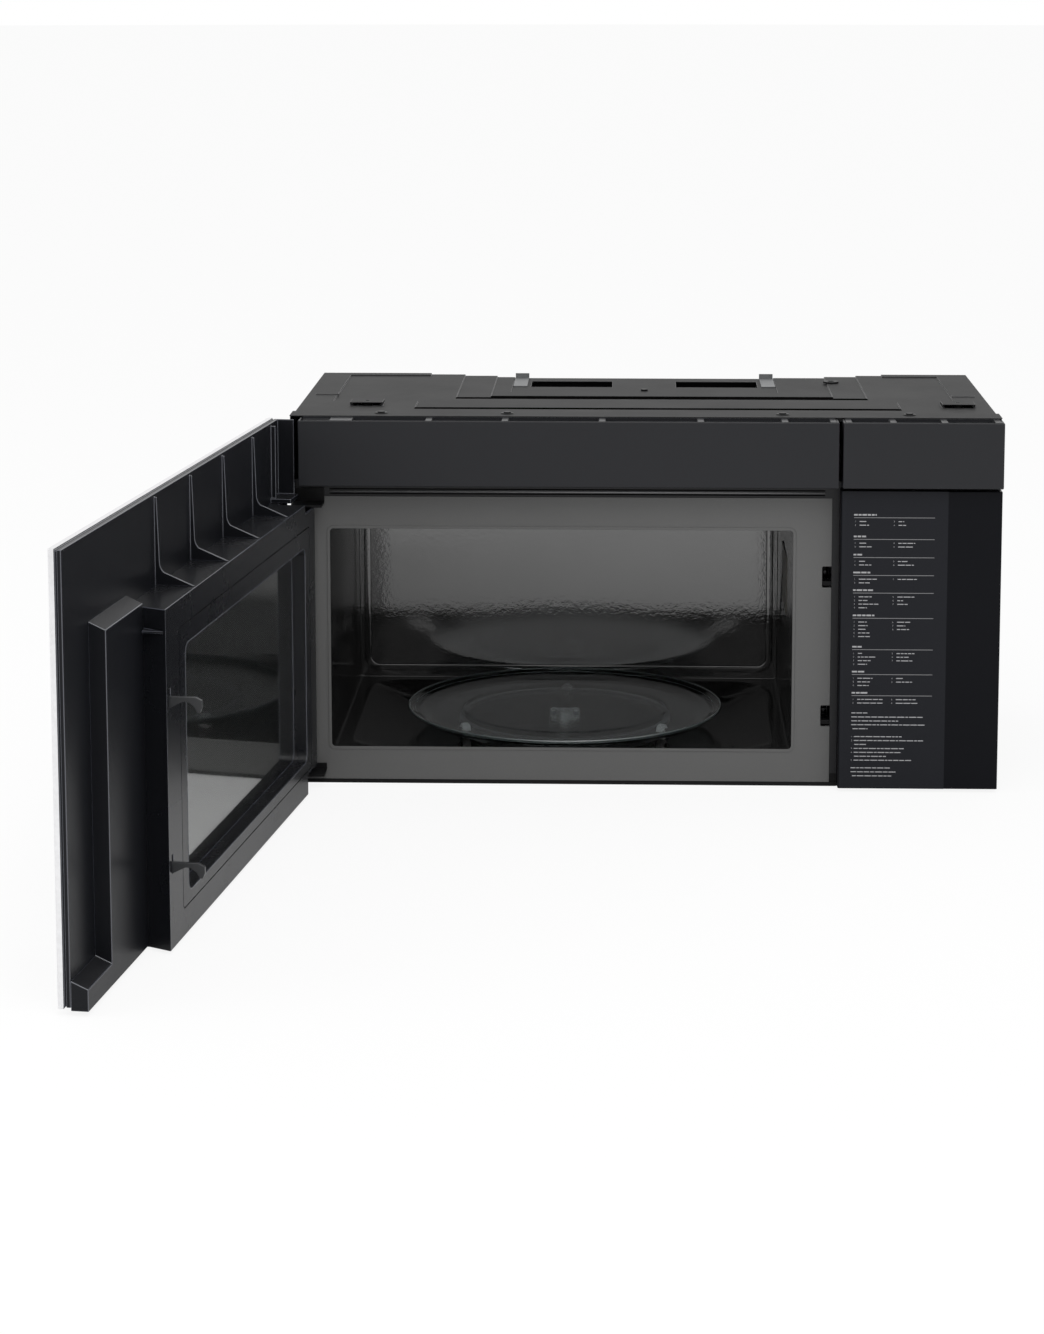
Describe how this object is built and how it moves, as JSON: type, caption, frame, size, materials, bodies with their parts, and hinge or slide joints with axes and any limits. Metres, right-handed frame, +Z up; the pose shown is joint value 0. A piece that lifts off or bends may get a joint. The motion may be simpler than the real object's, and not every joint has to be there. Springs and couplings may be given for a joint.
{
  "type": "over the range microwave",
  "caption": "Wall-hung microwave oven with vent blower; full-width side-hinged door, rotating glass tray on a roller ring, grease filters and lamps below.",
  "frame": {"origin": "centre of the rear face that hangs on the wall", "axes": "+X to the right seen from the front, +Y into the wall, +Z up"},
  "size_m": [0.8742, 1.1354, 0.405],
  "materials": {
    "outer_wrap": "satin dark grey paint on steel",
    "rear_panel": "bare galvanised steel",
    "base_pan": "satin dark grey paint on steel",
    "inner_deck": "galvanised steel",
    "cavity_shell": "dark grey gloss enamel on steel",
    "front_plate": "grey textured enamel on steel",
    "gap_strip": "black moulded plastic",
    "guide_panel": "black moulded plastic",
    "guide_label": "charcoal printed film",
    "vent_band_left": "charcoal moulded plastic",
    "vent_band_right": "charcoal moulded plastic",
    "vent_comb": "charcoal moulded plastic",
    "charcoal_filter": "black foam in a frame",
    "hinge_upper": "zinc plated steel",
    "hinge_lower": "zinc plated steel",
    "turntable_motor": "zinc plated steel can",
    "turntable_coupler": "natural plastic",
    "glass_tray": "clear pressed glass",
    "roller_ring": "natural plastic",
    "roller_1": "white plastic",
    "roller_2": "white plastic",
    "roller_3": "white plastic",
    "waveguide_cover": "mica sheet",
    "waveguide": "galvanised steel",
    "magnetron": "aluminium fins in a steel yoke",
    "hv_transformer": "laminated steel core with copper winding",
    "hv_capacitor": "drawn can",
    "fan_housing": "black plastic",
    "fan_wheel": "grey plastic",
    "power_board": "green circuit board",
    "latch_board": "natural plastic",
    "interlock_switches": "black plastic",
    "plunger_upper": "red plastic",
    "plunger_lower": "red plastic",
    "plunger_monitor": "red plastic",
    "lamp_bulbs": "clear glass in ceramic sockets",
    "blower_housing": "galvanised steel",
    "blower_motor": "steel can",
    "blower_rotor": "black plastic wheels on a steel shaft",
    "blower_plate": "dark grey painted steel",
    "outlet_brackets": "bright galvanised steel",
    "top_screws": "black zinc steel",
    "cord_bushing": "black nylon",
    "grease_filter_left": "expanded mesh",
    "grease_filter_right": "expanded mesh",
    "lamp_cover_left": "frosted lens",
    "lamp_cover_right": "frosted lens",
    "door_skin": "brushed stainless steel",
    "door_window": "dark tinted glass",
    "touch_panel": "black gloss",
    "door_cover": "black moulded plastic",
    "control_cover": "black moulded plastic",
    "display_board": "green circuit board",
    "door_frame": "painted steel",
    "choke_cover": "charcoal moulded plastic",
    "door_mesh": "black perforated steel",
    "door_inner_glass": "clear glass",
    "hinge_bushes": "acetal",
    "latch_lever": "grey acetal",
    "latch_spring": "spring steel"
  },
  "bodies": {
    "cabinet": {"outer_wrap": "outer_wrap", "rear_panel": "rear_panel", "base_pan": "base_pan", "inner_deck": "inner_deck", "cavity_shell": "cavity_shell", "front_plate": "front_plate", "gap_strip": "gap_strip", "guide_panel": "guide_panel", "guide_label": "guide_label", "vent_band_left": "vent_band_left", "vent_band_right": "vent_band_right", "vent_comb": "vent_comb", "charcoal_filter": "charcoal_filter", "hinge_upper": "hinge_upper", "hinge_lower": "hinge_lower", "turntable_motor": "turntable_motor", "waveguide_cover": "waveguide_cover", "waveguide": "waveguide", "magnetron": "magnetron", "hv_transformer": "hv_transformer", "hv_capacitor": "hv_capacitor", "fan_housing": "fan_housing", "power_board": "power_board", "latch_board": "latch_board", "interlock_switches": "interlock_switches", "lamp_bulbs": "lamp_bulbs", "blower_housing": "blower_housing", "blower_motor": "blower_motor", "blower_plate": "blower_plate", "outlet_brackets": "outlet_brackets", "top_screws": "top_screws", "cord_bushing": "cord_bushing"},
    "door": {"door_skin": "door_skin", "door_window": "door_window", "touch_panel": "touch_panel", "door_cover": "door_cover", "control_cover": "control_cover", "display_board": "display_board", "door_frame": "door_frame", "choke_cover": "choke_cover", "door_mesh": "door_mesh", "door_inner_glass": "door_inner_glass", "hinge_bushes": "hinge_bushes", "latch_spring": "latch_spring"},
    "latch": {"latch_lever": "latch_lever"},
    "turntable": {"turntable_coupler": "turntable_coupler", "glass_tray": "glass_tray"},
    "ring": {"roller_ring": "roller_ring"},
    "roller_a": {"roller_1": "roller_1"},
    "roller_b": {"roller_2": "roller_2"},
    "roller_c": {"roller_3": "roller_3"},
    "blower": {"blower_rotor": "blower_rotor"},
    "cooling_fan": {"fan_wheel": "fan_wheel"},
    "button_upper": {"plunger_upper": "plunger_upper"},
    "button_lower": {"plunger_lower": "plunger_lower"},
    "button_monitor": {"plunger_monitor": "plunger_monitor"},
    "filter_left": {"grease_filter_left": "grease_filter_left"},
    "filter_right": {"grease_filter_right": "grease_filter_right"},
    "lens_left": {"lamp_cover_left": "lamp_cover_left"},
    "lens_right": {"lamp_cover_right": "lamp_cover_right"}
  },
  "joints": [
    {"name": "door_hinge", "type": "hinge", "parent": "cabinet", "child": "door", "pos_m": [-0.3705, -0.3924, 0], "axis": [0, 0, 1], "range_deg": [0, 97.2]},
    {"name": "latch_slide", "type": "slide", "parent": "door", "child": "latch", "axis": [0, 0, 1], "range_m": [0, 0.006], "stiffness_N_per_m": 300, "deforming": ["latch_spring"]},
    {"name": "turntable_spin", "type": "hinge", "parent": "cabinet", "child": "turntable", "pos_m": [-0.089, -0.192, -0.1732], "axis": [0, 0, 1], "continuous": true},
    {"name": "ring_spin", "type": "hinge", "parent": "cabinet", "child": "ring", "pos_m": [-0.089, -0.192, -0.1732], "axis": [0, 0, 1], "continuous": true},
    {"name": "roller_a_spin", "type": "hinge", "parent": "ring", "child": "roller_a", "pos_m": [-0.089, -0.065, -0.1732], "axis": [0, 1, 0], "continuous": true},
    {"name": "roller_b_spin", "type": "hinge", "parent": "ring", "child": "roller_b", "pos_m": [-0.19898, -0.2555, -0.1732], "axis": [-0.866, -0.5, 0], "continuous": true},
    {"name": "roller_c_spin", "type": "hinge", "parent": "ring", "child": "roller_c", "pos_m": [0.02099, -0.2555, -0.1732], "axis": [0.866, -0.5, 0], "continuous": true},
    {"name": "blower_spin", "type": "hinge", "parent": "cabinet", "child": "blower", "pos_m": [0, -0.062, 0.1349], "axis": [1, 0, 0], "continuous": true},
    {"name": "cooling_fan_spin", "type": "hinge", "parent": "cabinet", "child": "cooling_fan", "pos_m": [0.262, -0.046, -0.0255], "axis": [0, 1, 0], "continuous": true},
    {"name": "button_upper_press", "type": "slide", "parent": "cabinet", "child": "button_upper", "axis": [0, 1, 0], "range_m": [0, 0.0025], "stiffness_N_per_m": 300},
    {"name": "button_lower_press", "type": "slide", "parent": "cabinet", "child": "button_lower", "axis": [0, 1, 0], "range_m": [0, 0.0025], "stiffness_N_per_m": 300},
    {"name": "button_monitor_press", "type": "slide", "parent": "cabinet", "child": "button_monitor", "axis": [0, 1, 0], "range_m": [0, 0.0025], "stiffness_N_per_m": 300},
    {"name": "filter_left_slide", "type": "slide", "parent": "cabinet", "child": "filter_left", "axis": [1, 0, 0], "range_m": [0, 0.012]},
    {"name": "lens_left_hinge", "type": "hinge", "parent": "cabinet", "child": "lens_left", "pos_m": [-0.23, -0.271, -0.197], "axis": [1, 0, 0], "range_deg": [0, 85]},
    {"name": "filter_right_slide", "type": "slide", "parent": "cabinet", "child": "filter_right", "axis": [-1, 0, 0], "range_m": [0, 0.012]},
    {"name": "lens_right_hinge", "type": "hinge", "parent": "cabinet", "child": "lens_right", "pos_m": [0.23, -0.271, -0.197], "axis": [1, 0, 0], "range_deg": [0, 85]}
  ],
  "couplings": [
    {"joint": "ring_spin", "follows": "turntable_spin", "ratio": 0.5},
    {"joint": "roller_a_spin", "follows": "turntable_spin", "ratio": -9.0714},
    {"joint": "roller_b_spin", "follows": "turntable_spin", "ratio": -9.0714},
    {"joint": "roller_c_spin", "follows": "turntable_spin", "ratio": -9.0714}
  ]
}
